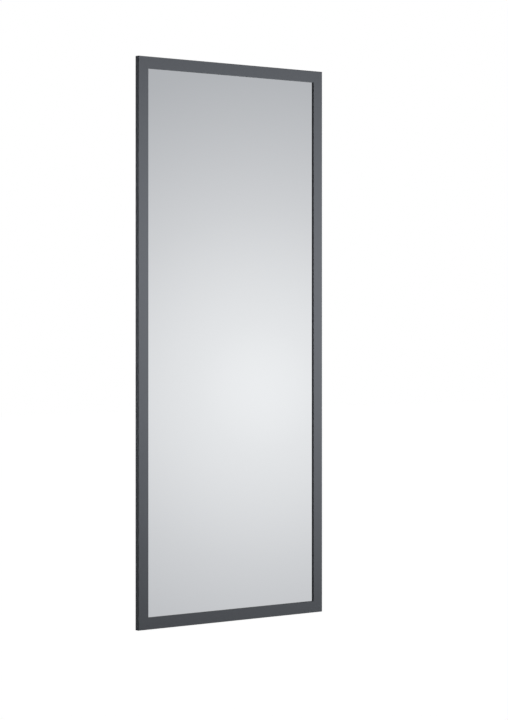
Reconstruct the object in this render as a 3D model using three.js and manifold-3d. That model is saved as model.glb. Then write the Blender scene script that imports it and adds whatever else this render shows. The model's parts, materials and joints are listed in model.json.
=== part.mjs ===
import * as THREE from 'three';
import { mergeVertices } from 'three/addons/utils/BufferGeometryUtils.js';
import Module from 'manifold-3d';

// Pull-out closet mirror: a framed mirror that hangs on an upright swivel tube,
// which two telescopic ball-bearing runners carry out of the closet.
// Lengths are millimetres. +Z is up, the mirror faces -Y and pulls out towards -X.
// The origin is the middle of the lower runner's back face, which is screwed to the closet's side.

// Mirror panel
const mirrorHeight = 1000;
const mirrorWidth = 420;
const faceWidth = 21;
const frameDepth = 10;
const frameWall = 1.5;
const chamberWidth = 10;
const frontEdgeRadius = 0.8;
const backEdgeRadius = 0.8;
const lipEdgeRadius = 0.4;
const glassRecess = 2.7;
const noseWidth = 1.5;
const glassThickness = 3;
const boardThickness = 2.5;
const panelPlay = 0.5;
const mitreGap = 0.1;
const keyLeg = 34;

// Swivel tube and what turns with it
const tubeDiameter = 12;
const tubeWall = 1.5;
const tubeOverhang = 27;
const axisInset = 22;
const railSetback = 6;
const capThickness = 2;
const capPlugLength = 7;
const collarWall = 3.2;
const collarHeight = 10;
const grubDiameter = 4;
const saddleWall = 3.2;
const saddleHeight = 24;
const saddleRise = 66;
const footThickness = 4;
const footHeight = 58;
const footLeadInset = 4.5;
const footCornerRadius = 3;
const saddleScrewPitch = 44;
const saddleScrewInset = 8;
const nutPlateThickness = 2.5;
const nutPlateMargin = 6;

// Runners
const runnerLength = 350;
const runnerHeight = 45.7;
const runnerSpacing = 640;
const railSheet = 1.2;
const railBend = 0.4;
const lipLength = 0.8;
const ballDiameter = 4;
const cageLength = 150;
const cageSheet = 0.6;
const cagePlay = 0.35;
const bumperThickness = 6.4;
const bumperSlotHeight = 14;
const fixingHoleDiameter = 4.6;
const fixingHolePitch = 96;
const fixingHoleInset = 37;
const accessHoleDiameter = 10;
const accessHoleLength = 22;

// Swivel brackets on the inner rails
const bracketSheet = 2;
const bracketBend = 1;
const bracketLength = 64;
const bracketToeWidth = 6;
const bracketScrewInset = 26;
const bracketScrewPitch = 24;
const bushWall = 1;
const bushFlange = 2;
const bushFlangeThickness = 1.5;
const earRim = 2.9;
const earGap = 1.5;

// Screws
const screwDiameter = 4;
const screwHeadDiameter = 7;
const screwHeadHeight = 2.4;
const screwReach = 2;

// Running and fitting clearance, and how far a cutter runs past what it cuts
const clearance = 0.3;
const overrun = 1;
const mergeDistance = 0.0001;

// Counts
const roundSides = 24;
const holeSides = 16;
const screwSides = 10;
const bendSteps = 3;
const raceSteps = 6;
const ballSides = 8;
const ballRings = 5;
const ballsPerRow = 5;

// Runner section, seen along X: x is the distance from the closet's side, y is the height
const halfSheet = railSheet / 2;
const ballRadius = ballDiameter / 2;
const raceRadius = ballRadius + clearance + halfSheet;
const bendRadius = railBend + halfSheet;
const tuckAngle = THREE.MathUtils.degToRad(70);
const staggerAngle = THREE.MathUtils.degToRad(46);
const innerTurnAngle = THREE.MathUtils.degToRad(115);
const middleWeb = railSheet + cagePlay + cageSheet + cagePlay + halfSheet;
const outerRow = new THREE.Vector2(
  middleWeb + bendRadius + (bendRadius + raceRadius) * Math.cos(tuckAngle),
  runnerHeight / 2 - halfSheet - raceRadius,
);
const innerRow = new THREE.Vector2(
  outerRow.x + raceRadius * 2 * Math.cos(staggerAngle),
  outerRow.y - raceRadius * 2 * Math.sin(staggerAngle),
);
const innerWeb = innerRow.x + bendRadius - (bendRadius + raceRadius) * Math.cos(innerTurnAngle);
const innerWebHalfHeight = innerRow.y - (bendRadius + raceRadius) * Math.sin(innerTurnAngle);
const runnerDepth = innerWeb + halfSheet;
const slidingLength = runnerLength - bumperThickness - clearance;
const fixingHoleCount = Math.floor((slidingLength - fixingHoleInset) / fixingHolePitch) + 1;

// Swivel axis and the planes of the mirror panel
const tubeRadius = tubeDiameter / 2;
const turningBore = tubeRadius + clearance;
const bushRadius = turningBore + bushWall;
const earBore = bushRadius + clearance;
const earRadius = earBore + earRim;
const axisX = -runnerLength / 2 - railSetback;
const leadingX = axisX - axisInset;
const mirrorX = leadingX + mirrorWidth / 2;
const trailingX = leadingX + mirrorWidth;
const axisY = -runnerDepth - earRadius;
const backY = axisY - earRadius - earGap;
const frontY = backY - frameDepth;
const middleZ = runnerSpacing / 2;
const slotStart = frameWall + chamberWidth + frameWall;
const bracketHeight = innerWebHalfHeight * 2;

// Finishes
const finish = {
  frame: { color: 0x64676c, roughness: 0.45, metalness: 0.6 },
  mirror: { color: 0xf4f6f7, roughness: 0.03, metalness: 1 },
  board: { color: 0x3c3d3f, roughness: 0.8, metalness: 0 },
  zinc: { color: 0xb8bcc0, roughness: 0.35, metalness: 0.9 },
  bearing: { color: 0xd0d2d4, roughness: 0.2, metalness: 1 },
  plastic: { color: 0x1c1d1f, roughness: 0.6, metalness: 0 },
  casting: { color: 0x4c4f54, roughness: 0.5, metalness: 0.7 },
};

const wasm = await Module();
wasm.setup();

// A closed geometry as a solid that can be joined and cut
function solidOf(geometry) {
  const plain = geometry.clone();
  plain.deleteAttribute('normal');
  plain.deleteAttribute('uv');
  const merged = mergeVertices(plain, mergeDistance);
  const corners = merged.index.array;
  const faces = [];
  for (let i = 0; i < corners.length; i += 3) {
    const [a, b, c] = corners.subarray(i, i + 3);
    if (a !== b && b !== c && c !== a) faces.push(a, b, c);
  }
  const vertProperties = new Float32Array(merged.attributes.position.array);
  return new wasm.Manifold(new wasm.Mesh({ numProp: 3, vertProperties, triVerts: new Uint32Array(faces) }));
}

function geometryOf(solid) {
  const cut = solid.getMesh();
  const geometry = new THREE.BufferGeometry();
  geometry.setAttribute('position', new THREE.BufferAttribute(cut.vertProperties, 3));
  geometry.setIndex(new THREE.BufferAttribute(cut.triVerts, 1));
  geometry.computeVertexNormals();
  return geometry;
}

function subtractAll(geometry, cutters) {
  return geometryOf(cutters.reduce((rest, cutter) => rest.subtract(solidOf(cutter)), solidOf(geometry)));
}

function arc(centre, radius, from, to, steps) {
  return Array.from({ length: steps + 1 }, (_, i) => {
    const angle = from + (to - from) * (i / steps);
    return new THREE.Vector2(centre.x + radius * Math.cos(angle), centre.y + radius * Math.sin(angle));
  });
}

function withoutRepeats(points) {
  return points.filter((point, i) => i === 0 || point.distanceTo(points[i - 1]) > mergeDistance);
}

// The outline of bent sheet whose middle line runs through the points
function sheetShape(points, sheet) {
  const line = withoutRepeats(points);
  const normals = line.slice(1).map((point, i) => {
    const run = point.clone().sub(line[i]).normalize();
    return new THREE.Vector2(-run.y, run.x);
  });
  const side = (reach) => line.map((point, i) => {
    const before = normals[Math.max(i - 1, 0)];
    const after = normals[Math.min(i, normals.length - 1)];
    const mitre = before.clone().add(after).divideScalar(1 + before.dot(after));
    return point.clone().addScaledVector(mitre, reach);
  });
  return new THREE.Shape([...side(sheet / 2), ...side(-sheet / 2).reverse()]);
}

// The whole middle line of a section from its upper half
function mirrored(upper) {
  const lower = upper.map((point) => new THREE.Vector2(point.x, -point.y)).reverse();
  return [...lower, ...upper];
}

function extruded(shape, length) {
  const settings = { depth: length, bevelEnabled: false, curveSegments: bendSteps };
  return new THREE.ExtrudeGeometry(shape, settings).translate(0, 0, -length / 2);
}

// A section that was drawn as distance from the closet's side and height, run along X
function runAlongX(shape, length) {
  const basis = new THREE.Matrix4().makeBasis(
    new THREE.Vector3(0, -1, 0),
    new THREE.Vector3(0, 0, 1),
    new THREE.Vector3(-1, 0, 0),
  );
  return extruded(shape, length).applyMatrix4(basis);
}

// An outline drawn in X and Z, given its thickness along Y
function runAlongY(shape, length) {
  return extruded(shape, length).rotateX(Math.PI / 2);
}

// A hole cutter along Y
function drill(diameter, length, x, y, z) {
  return new THREE.CylinderGeometry(diameter / 2, diameter / 2, length, holeSides).translate(x, y, z);
}

function ring(outerRadius, boreRadius, height) {
  const shape = new THREE.Shape();
  shape.absarc(0, 0, outerRadius, 0, Math.PI * 2);
  const bore = new THREE.Path();
  bore.absarc(0, 0, boreRadius, 0, Math.PI * 2);
  shape.holes.push(bore);
  const settings = { depth: height, bevelEnabled: false, curveSegments: roundSides / 2 };
  return new THREE.ExtrudeGeometry(shape, settings).translate(0, 0, -height / 2);
}

function roundedBlock(width, height, radius) {
  const x = width / 2;
  const y = height / 2;
  const shape = new THREE.Shape();
  shape.absarc(x - radius, y - radius, radius, 0, Math.PI / 2);
  shape.absarc(-x + radius, y - radius, radius, Math.PI / 2, Math.PI);
  shape.absarc(-x + radius, -y + radius, radius, Math.PI, Math.PI * 1.5);
  shape.absarc(x - radius, -y + radius, radius, Math.PI * 1.5, Math.PI * 2);
  return shape;
}

function piece(name, look, geometry, x, y, z) {
  const mesh = new THREE.Mesh(geometry, new THREE.MeshStandardMaterial({ ...look, flatShading: true }));
  mesh.name = name;
  mesh.position.set(x, y, z);
  return mesh;
}

const saddlePlaces = {
  lower: saddleRise,
  middle: middleZ,
  upper: runnerSpacing - saddleRise,
};
const saddleScrewHeights = Object.values(saddlePlaces).flatMap(
  (height) => [height - saddleScrewPitch / 2, height + saddleScrewPitch / 2],
);

// Frame profile: x runs in from the outer edge, y back from the front face
function profileShape() {
  const shape = new THREE.Shape();
  const noseEdge = faceWidth - noseWidth;
  const slotBack = frameDepth - frameWall;
  shape.absarc(frontEdgeRadius, frontEdgeRadius, frontEdgeRadius, Math.PI, Math.PI * 1.5);
  shape.absarc(faceWidth - lipEdgeRadius, lipEdgeRadius, lipEdgeRadius, Math.PI * 1.5, Math.PI * 2);
  shape.lineTo(faceWidth, glassRecess);
  shape.lineTo(noseEdge, glassRecess);
  shape.lineTo(noseEdge, frameWall);
  shape.lineTo(slotStart, frameWall);
  shape.lineTo(slotStart, slotBack);
  shape.lineTo(faceWidth, slotBack);
  shape.lineTo(faceWidth, frameDepth);
  shape.absarc(backEdgeRadius, frameDepth - backEdgeRadius, backEdgeRadius, Math.PI / 2, Math.PI);

  const chamber = new THREE.Path();
  const chamberEnd = frameWall + chamberWidth;
  chamber.moveTo(frameWall, frameWall);
  chamber.lineTo(chamberEnd, frameWall);
  chamber.lineTo(chamberEnd, slotBack);
  chamber.lineTo(frameWall, slotBack);
  shape.holes.push(chamber);
  return shape;
}

// Each profile's ends are cut at 45 degrees by moving every end corner in by its distance from the edge
function mitredProfile(length) {
  const geometry = extruded(profileShape(), length);
  const position = geometry.attributes.position;
  const setback = mitreGap * Math.SQRT1_2;
  for (let i = 0; i < position.count; i += 1) {
    const reach = length / 2 - position.getX(i) - setback;
    position.setZ(i, Math.sign(position.getZ(i)) * reach);
  }
  return geometry;
}

function makeFrame() {
  const leadingHoles = saddleScrewHeights.map((height) => drill(
    screwDiameter + clearance * 2,
    frameWall + overrun * 2,
    saddleScrewInset,
    frameDepth - frameWall / 2,
    height - middleZ,
  ));
  const stile = mitredProfile(mirrorHeight);
  const rail = mitredProfile(mirrorWidth);
  const sides = [
    ['leading_stile', subtractAll(stile, leadingHoles), 0, leadingX, 0],
    ['top_rail', rail, Math.PI / 2, mirrorX, mirrorHeight / 2],
    ['trailing_stile', stile, Math.PI, trailingX, 0],
    ['bottom_rail', rail.clone(), -Math.PI / 2, mirrorX, -mirrorHeight / 2],
  ];
  return sides.map(([name, geometry, turn, x, z]) => {
    const mesh = piece(name, finish.frame, geometry, x, frontY, middleZ + z);
    mesh.rotation.y = turn;
    return mesh;
  });
}

// The corner keys fill the chambers of two profiles and draw their mitre tight
function makeCornerKeys() {
  const near = frameWall + clearance;
  const far = frameWall + chamberWidth - clearance;
  const outline = [[near, -near], [near, -keyLeg], [far, -keyLeg], [far, -far], [keyLeg, -far], [keyLeg, -near]];
  const shape = new THREE.Shape(outline.map(([x, z]) => new THREE.Vector2(x, z)));
  const thickness = frameDepth - frameWall * 2 - clearance * 2;
  const geometry = runAlongY(shape, thickness).translate(0, frameDepth / 2, 0);
  const corners = [
    ['corner_key_top_leading', 0, leadingX, 1],
    ['corner_key_top_trailing', Math.PI / 2, trailingX, 1],
    ['corner_key_bottom_trailing', Math.PI, trailingX, -1],
    ['corner_key_bottom_leading', -Math.PI / 2, leadingX, -1],
  ];
  return corners.map(([name, turn, x, upright]) => {
    const z = middleZ + upright * mirrorHeight / 2;
    const mesh = piece(name, finish.casting, geometry.clone(), x, frontY, z);
    mesh.rotation.y = turn;
    return mesh;
  });
}

// Glass against the front lip, and a board behind it in the same slot
function makePanel() {
  const width = mirrorWidth - (slotStart + panelPlay) * 2;
  const height = mirrorHeight - (slotStart + panelPlay) * 2;
  const glassY = frontY + glassRecess + glassThickness / 2;
  const boardY = glassY + glassThickness / 2 + boardThickness / 2;
  const glass = new THREE.BoxGeometry(width, glassThickness, height);
  const board = new THREE.BoxGeometry(width, boardThickness, height);
  return [
    piece('mirror_glass', finish.mirror, glass, mirrorX, glassY, middleZ),
    piece('backing_board', finish.board, board, mirrorX, boardY, middleZ),
  ];
}

function turnedPiece(outline, sides) {
  return new THREE.LatheGeometry(outline.map(([radius, height]) => new THREE.Vector2(radius, height)), sides);
}

// Pan-head screw, its head above y = 0 and its shank below
function screwGeometry(shankLength) {
  const head = screwHeadDiameter / 2;
  return turnedPiece([
    [0, -shankLength],
    [screwDiameter / 2, -shankLength],
    [screwDiameter / 2, 0],
    [head, 0],
    [head, screwHeadHeight / 2],
    [head * 0.8, screwHeadHeight * 0.85],
    [head / 2, screwHeadHeight],
    [0, screwHeadHeight],
  ], screwSides);
}

function makeTube() {
  const height = runnerSpacing + tubeOverhang * 2;
  const tube = ring(tubeRadius, tubeRadius - tubeWall, height);
  const plug = tubeRadius - tubeWall - clearance;
  const cap = turnedPiece([
    [0, -capPlugLength],
    [plug, -capPlugLength],
    [plug, 0],
    [tubeRadius, 0],
    [tubeRadius, capThickness / 2],
    [tubeRadius - capThickness / 2, capThickness],
    [0, capThickness],
  ], roundSides).rotateX(Math.PI / 2);
  const lowerCap = piece('tube_cap_lower', finish.plastic, cap, axisX, axisY, -tubeOverhang);
  lowerCap.rotation.x = Math.PI;
  return [
    piece('swivel_tube', finish.zinc, tube, axisX, axisY, middleZ),
    piece('tube_cap_upper', finish.plastic, cap.clone(), axisX, axisY, runnerSpacing + tubeOverhang),
    lowerCap,
  ];
}

// A thrust collar rides on the bush nearest the middle of the tube at each runner
function makeCollar(level, upright) {
  const side = upright > 0 ? 'upper' : 'lower';
  const gapHeight = bracketHeight / 2 + bushFlangeThickness + clearance;
  const z = level - upright * (gapHeight + collarHeight / 2);
  const grubHole = drill(grubDiameter + clearance * 2, turningBore + collarWall, 0, 0, 0)
    .rotateZ(Math.PI / 2)
    .translate((turningBore + collarWall) / 2 + overrun, 0, 0);
  const collar = subtractAll(ring(turningBore + collarWall, turningBore, collarHeight), [grubHole]);
  const grubLength = collarWall - clearance;
  const socket = grubDiameter / 4;
  const grub = turnedPiece([
    [0, -grubLength / 2],
    [grubDiameter / 2 - clearance, -grubLength / 2],
    [grubDiameter / 2, -grubLength / 2 + clearance],
    [grubDiameter / 2, grubLength / 2],
    [socket, grubLength / 2],
    [socket, 0],
    [0, 0],
  ], screwSides).rotateZ(-Math.PI / 2);
  const grubX = axisX + turningBore + grubLength / 2;
  return [
    piece(`thrust_collar_${side}`, finish.zinc, collar, axisX, axisY, z),
    piece(`collar_grub_screw_${side}`, finish.bearing, grub, grubX, axisY, z),
  ];
}

// Saddle blocks clamp the tube to the leading stile, where screws run into nut plates in its chamber
function makeSaddle(name, level) {
  const radius = turningBore + saddleWall;
  const backFace = backY - axisY;
  const boss = new THREE.Shape();
  boss.moveTo(-radius, backFace);
  boss.lineTo(radius, backFace);
  boss.absarc(0, 0, radius, 0, Math.PI);
  boss.lineTo(-radius, backFace);

  const footStart = footLeadInset - axisInset;
  const foot = runAlongY(roundedBlock(radius - footStart, footHeight, footCornerRadius), footThickness)
    .translate((footStart + radius) / 2, backFace + footThickness / 2, 0);
  const screwX = saddleScrewInset - axisInset;
  const screwHeights = [-saddleScrewPitch / 2, saddleScrewPitch / 2];
  const holeLength = footThickness + overrun * 2;
  const holes = screwHeights.map((height) => drill(
    screwDiameter + clearance * 2, holeLength, screwX, backFace + footThickness / 2, height,
  ));
  const bore = new THREE.CylinderGeometry(turningBore, turningBore, saddleHeight + overrun * 2, roundSides)
    .rotateX(Math.PI / 2);
  const body = solidOf(extruded(boss, saddleHeight)).add(solidOf(foot));
  const block = subtractAll(geometryOf(body), [bore, ...holes]);

  const plateWidth = chamberWidth - clearance * 2;
  const plateX = leadingX + frameWall + chamberWidth / 2;
  const plateY = backY - frameWall - nutPlateThickness / 2;
  const plateHoles = screwHeights.map((height) => drill(
    screwDiameter + clearance * 2, nutPlateThickness + overrun * 2, axisX + screwX - plateX, 0, height,
  ));
  const plate = subtractAll(
    new THREE.BoxGeometry(plateWidth, nutPlateThickness, saddleScrewPitch + nutPlateMargin * 2),
    plateHoles,
  );

  const shank = footThickness + frameWall + nutPlateThickness + screwReach / 2;
  const screws = screwHeights.map((height, i) => piece(
    `saddle_screw_${name}_${i + 1}`,
    finish.zinc,
    screwGeometry(shank),
    axisX + screwX,
    backY + footThickness,
    level + height,
  ));
  return [
    piece(`saddle_block_${name}`, finish.casting, block, axisX, axisY, level),
    piece(`nut_plate_${name}`, finish.zinc, plate, plateX, plateY, level),
    ...screws,
  ];
}

// Outer rail: a channel whose flanges swell out around the outer rows of balls
const outerShoulder = outerRow.y + raceRadius * Math.SQRT1_2;
const lipAngle = THREE.MathUtils.degToRad(30);
function outerRailLine() {
  const bendCentre = new THREE.Vector2(halfSheet + bendRadius, outerShoulder - bendRadius);
  const race = arc(outerRow, raceRadius, Math.PI * 0.75, lipAngle, raceSteps);
  const raceEnd = race[race.length - 1];
  const lipRun = new THREE.Vector2(Math.sin(lipAngle), -Math.cos(lipAngle)).multiplyScalar(lipLength);
  return mirrored([
    ...arc(bendCentre, bendRadius, Math.PI, Math.PI / 2, bendSteps),
    ...race,
    raceEnd.clone().add(lipRun),
  ]);
}

// Middle rail: its flanges wave under the outer balls and over the inner ones
function middleRailLine() {
  const bendCentre = new THREE.Vector2(
    middleWeb + bendRadius,
    outerRow.y - (raceRadius + bendRadius) * Math.sin(tuckAngle),
  );
  const lipEnd = THREE.MathUtils.degToRad(40);
  return mirrored([
    ...arc(bendCentre, bendRadius, Math.PI, tuckAngle, bendSteps),
    ...arc(outerRow, raceRadius, tuckAngle - Math.PI, -staggerAngle, raceSteps),
    ...arc(innerRow, raceRadius, Math.PI - staggerAngle, lipEnd, raceSteps),
  ]);
}

// Inner rail: its web faces the mirror, and its flanges curl back under the inner balls
function innerRailLine() {
  const bendCentre = new THREE.Vector2(innerWeb - bendRadius, innerWebHalfHeight);
  const lipEnd = THREE.MathUtils.degToRad(-140);
  return mirrored([
    ...arc(bendCentre, bendRadius, 0, innerTurnAngle, bendSteps),
    ...arc(innerRow, raceRadius, innerTurnAngle - Math.PI, lipEnd, raceSteps),
  ]);
}

// A cage is a thin channel that holds a row of balls along each edge
function cageGeometry(web, row) {
  const bend = cageSheet;
  const bendCentre = new THREE.Vector2(web + bend, row.y - bend);
  const line = mirrored([
    ...arc(bendCentre, bend, Math.PI, Math.PI / 2, bendSteps),
    new THREE.Vector2(row.x + ballRadius / 2, row.y),
  ]);
  let cage = solidOf(runAlongX(sheetShape(line, cageSheet), cageLength));
  const pitch = cageLength / ballsPerRow;
  for (let i = 0; i < ballsPerRow; i += 1) {
    const x = (i + 0.5) * pitch - cageLength / 2;
    for (const height of [row.y, -row.y]) {
      const ball = new THREE.SphereGeometry(ballRadius, ballSides, ballRings).translate(x, -row.x, height);
      cage = cage.add(solidOf(ball));
    }
  }
  return geometryOf(cage);
}

// A long hole in a rail's web, through which the screws of the rail behind are reached
function accessHole(x, web) {
  const slot = roundedBlock(accessHoleLength, accessHoleDiameter, accessHoleDiameter / 2);
  return runAlongY(slot, railSheet + overrun * 2).translate(x, -web, 0);
}

function fixingHoles() {
  const places = Array.from(
    { length: fixingHoleCount },
    (_, i) => -runnerLength / 2 + fixingHoleInset + i * fixingHolePitch,
  );
  return places.map((x) => drill(fixingHoleDiameter, railSheet + overrun * 2, x, -halfSheet, 0));
}

function bracketScrewPlaces() {
  return [bracketScrewInset, bracketScrewInset + bracketScrewPitch].map((inset) => axisX + inset);
}

// The block in the outer rail's closed end, which the two sliding rails rest against
function bumperGeometry() {
  const start = railSheet + clearance;
  const end = innerWeb - railSheet;
  const shape = roundedBlock(end - start, outerRow.y * 2, railSheet);
  const slot = new THREE.BoxGeometry(bumperThickness + overrun * 2, (end - start) / 3, bumperSlotHeight);
  const block = runAlongX(shape, bumperThickness).translate(0, -(start + end) / 2, 0);
  return subtractAll(block, [slot.translate(0, -(start + end) / 2, 0)]);
}

function makeRunner(side, level) {
  const sliderX = (slidingLength - runnerLength) / 2;
  const outer = subtractAll(runAlongX(sheetShape(outerRailLine(), railSheet), runnerLength), fixingHoles());
  const middleHoles = [-1, 1].map((end) => accessHole(end * slidingLength / 4, middleWeb));
  const middle = subtractAll(runAlongX(sheetShape(middleRailLine(), railSheet), slidingLength), middleHoles);
  const innerHoles = [
    ...bracketScrewPlaces().map((x) => drill(
      screwDiameter + clearance * 2, railSheet + overrun * 2, x - sliderX, -innerWeb, 0,
    )),
    accessHole(0, innerWeb),
    accessHole(slidingLength / 3, innerWeb),
  ];
  const inner = subtractAll(runAlongX(sheetShape(innerRailLine(), railSheet), slidingLength), innerHoles);
  const outerCageWeb = railSheet + cagePlay + cageSheet / 2;
  const innerCageWeb = middleWeb + halfSheet + cagePlay + cageSheet / 2;
  const bumperX = (runnerLength - bumperThickness) / 2;
  return [
    piece(`outer_rail_${side}`, finish.zinc, outer, 0, 0, level),
    piece(`middle_rail_${side}`, finish.zinc, middle, sliderX, 0, level),
    piece(`inner_rail_${side}`, finish.zinc, inner, sliderX, 0, level),
    piece(`outer_ball_cage_${side}`, finish.bearing, cageGeometry(outerCageWeb, outerRow), 0, 0, level),
    piece(`inner_ball_cage_${side}`, finish.bearing, cageGeometry(innerCageWeb, innerRow), 0, 0, level),
    piece(`closing_bumper_${side}`, finish.plastic, bumperGeometry(), bumperX, 0, level),
  ];
}

// Swivel bracket: sheet bent to a channel, its two ears cut round the swivel axis
function bracketGeometry() {
  const bend = bracketBend + bracketSheet / 2;
  const earHeight = (bracketHeight - bracketSheet) / 2;
  const bendCentre = new THREE.Vector2(bracketSheet / 2 + bend, earHeight - bend);
  const line = mirrored([
    ...arc(bendCentre, bend, Math.PI, Math.PI / 2, bendSteps),
    new THREE.Vector2(earRadius * 2 + overrun, earHeight),
  ]);
  const length = earRadius + bracketLength;
  const channel = runAlongX(sheetShape(line, bracketSheet), length)
    .translate(bracketLength / 2 - earRadius / 2, earRadius, 0);

  const plan = new THREE.Shape();
  plan.absarc(0, 0, earRadius, Math.PI / 2, Math.PI * 1.5);
  plan.lineTo(earRadius, -earRadius);
  plan.lineTo(bracketLength, earRadius - bracketToeWidth);
  plan.lineTo(bracketLength, earRadius);
  const settings = { depth: bracketHeight + overrun * 2, bevelEnabled: false, curveSegments: holeSides / 2 };
  const outline = new THREE.ExtrudeGeometry(plan, settings).translate(0, 0, -bracketHeight / 2 - overrun);

  const bore = new THREE.CylinderGeometry(earBore, earBore, bracketHeight + overrun * 2, roundSides)
    .rotateX(Math.PI / 2);
  const holes = bracketScrewPlaces().map((x) => drill(
    screwDiameter + clearance * 2, bracketSheet + overrun * 2, x - axisX, earRadius - bracketSheet / 2, 0,
  ));
  return subtractAll(geometryOf(solidOf(channel).intersect(solidOf(outline))), [bore, ...holes]);
}

// Flanged bush, its flange on the outer side of the ear
function bushGeometry() {
  return turnedPiece([
    [turningBore, 0],
    [bushRadius, 0],
    [bushRadius, bracketSheet],
    [bushRadius + bushFlange, bracketSheet],
    [bushRadius + bushFlange, bracketSheet + bushFlangeThickness],
    [turningBore, bracketSheet + bushFlangeThickness],
    [turningBore, 0],
  ], roundSides).rotateX(Math.PI / 2);
}

function makeBracket(side, level) {
  const bushHeight = bracketHeight / 2 - bracketSheet;
  const bushes = [['top', 1], ['bottom', -1]].map(([end, upright]) => {
    const mesh = piece(
      `bush_${side}_${end}`, finish.plastic, bushGeometry(), axisX, axisY, level + upright * bushHeight,
    );
    if (upright < 0) mesh.rotation.x = Math.PI;
    return mesh;
  });
  const shank = bracketSheet + railSheet + screwReach;
  const screws = bracketScrewPlaces().map((x, i) => {
    const y = -runnerDepth - bracketSheet;
    const mesh = piece(`bracket_screw_${side}_${i + 1}`, finish.zinc, screwGeometry(shank), x, y, level);
    mesh.rotation.x = Math.PI;
    return mesh;
  });
  return [
    piece(`swivel_bracket_${side}`, finish.casting, bracketGeometry(), axisX, axisY, level),
    ...bushes,
    ...screws,
  ];
}

const mirror = new THREE.Group();
mirror.add(...makeFrame(), ...makeCornerKeys(), ...makePanel(), ...makeTube());
mirror.add(...makeCollar(0, -1), ...makeCollar(runnerSpacing, 1));
for (const [name, level] of Object.entries(saddlePlaces)) mirror.add(...makeSaddle(name, level));

const runners = new THREE.Group();
for (const [side, level] of [['lower', 0], ['upper', runnerSpacing]]) {
  runners.add(...makeRunner(side, level), ...makeBracket(side, level));
}

const closetMirror = new THREE.Group();
closetMirror.add(mirror, runners);

export default closetMirror;
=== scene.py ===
# %% [markdown]
# # A pull-out closet mirror
# The mirror hangs on an upright tube, and two telescopic runners carry the tube out of a closet.
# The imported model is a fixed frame: each new piece is modelled around it, at the place it gives.
# Sizes are measured from the frame's boxes, and small ones that no box gives are in millimetres.

# %% Load the frame
import json
import math

import bpy
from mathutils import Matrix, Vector

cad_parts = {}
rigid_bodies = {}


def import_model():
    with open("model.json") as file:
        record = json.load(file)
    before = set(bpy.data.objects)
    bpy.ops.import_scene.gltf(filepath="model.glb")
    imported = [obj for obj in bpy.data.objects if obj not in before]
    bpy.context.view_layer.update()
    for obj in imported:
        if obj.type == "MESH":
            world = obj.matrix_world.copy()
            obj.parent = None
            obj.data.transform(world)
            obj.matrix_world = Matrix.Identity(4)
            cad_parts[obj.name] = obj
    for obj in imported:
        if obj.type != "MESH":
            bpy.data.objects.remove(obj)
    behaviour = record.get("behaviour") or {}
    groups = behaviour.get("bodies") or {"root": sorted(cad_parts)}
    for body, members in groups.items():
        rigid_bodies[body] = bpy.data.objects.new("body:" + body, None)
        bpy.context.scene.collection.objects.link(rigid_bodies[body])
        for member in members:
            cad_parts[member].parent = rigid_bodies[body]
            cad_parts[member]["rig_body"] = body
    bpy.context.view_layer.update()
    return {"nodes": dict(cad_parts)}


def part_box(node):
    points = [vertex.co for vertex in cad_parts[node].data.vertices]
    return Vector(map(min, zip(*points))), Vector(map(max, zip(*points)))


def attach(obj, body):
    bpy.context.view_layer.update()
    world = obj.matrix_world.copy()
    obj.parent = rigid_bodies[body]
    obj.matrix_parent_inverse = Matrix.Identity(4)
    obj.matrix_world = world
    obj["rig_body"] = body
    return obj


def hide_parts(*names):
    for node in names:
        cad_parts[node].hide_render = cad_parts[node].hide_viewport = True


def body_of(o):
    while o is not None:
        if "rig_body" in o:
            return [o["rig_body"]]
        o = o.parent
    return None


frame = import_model()
MM = 0.001
print("nodes in the frame:", len(frame["nodes"]))

# %% [markdown]
# ## Camera
# The camera stands level at the mirror's leading side, and its sensor is parallel to the
# uprights. It could be tilted instead, but then the uprights would lean towards each other. A
# small vertical shift brings the mirror to the middle and keeps them parallel. The camera's place
# is measured from the mirror's own corner, so it follows the frame.

# %% Camera
MIRROR_LOW = Vector((*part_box("leading_stile")[0].xy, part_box("bottom_rail")[0].z))
MIRROR_HIGH = Vector((*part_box("trailing_stile")[1].xy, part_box("top_rail")[1].z))
CAMERA_FROM_CORNER = Vector((-2.3584, -3.2385, 0.5403))
CAMERA_YAW = 38.93
CAMERA_LENS = 115.1
SENSOR_SIZE = 36
CAMERA_SHIFT = -0.0556

bpy.ops.object.camera_add(
    location=MIRROR_LOW + CAMERA_FROM_CORNER,
    rotation=(math.radians(90), 0, math.radians(-CAMERA_YAW)),
)
camera = bpy.context.object
camera.name = "studio_camera"
camera.data.lens = CAMERA_LENS
camera.data.sensor_width = SENSOR_SIZE
camera.data.shift_y = CAMERA_SHIFT
bpy.context.scene.camera = camera
print("camera at", tuple(round(c, 3) for c in camera.location))

# %% [markdown]
# ## Colours and nodes
# Colours are picked as hex values, as in a paint program, while shaders work in linear light, so
# one function turns them. Nodes could be added, set and linked line by line, but a material soon
# has ten of them, so one call adds a node with its settings and its links.

# %% Colour and node helpers
# A Mix node has its sockets several times, for each kind of value. These belong to colours.
MIX_SHARE, MIX_A, MIX_B, MIX_RESULT = 0, 6, 7, 2


def linear(hex_colour):
    """Turns a hex colour (sRGB) into linear light, by the curve of the sRGB standard."""
    parts = [int(hex_colour[i : i + 2], 16) / 255 for i in (1, 3, 5)]
    return [p / 12.92 if p <= 0.04045 else ((p + 0.055) / 1.055) ** 2.4 for p in parts] + [1]


def add_node(tree, kind, settings=None, links=None):
    """Adds a node. Settings are properties or input values, links are input: (node, output)."""
    node = tree.nodes.new(kind)
    for key, value in (settings or {}).items():
        if isinstance(key, str) and hasattr(node, key):
            setattr(node, key, value)
        else:
            node.inputs[key].default_value = value
    for socket, (source, output) in (links or {}).items():
        tree.links.new(source.outputs[output], node.inputs[socket])
    return node


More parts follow.
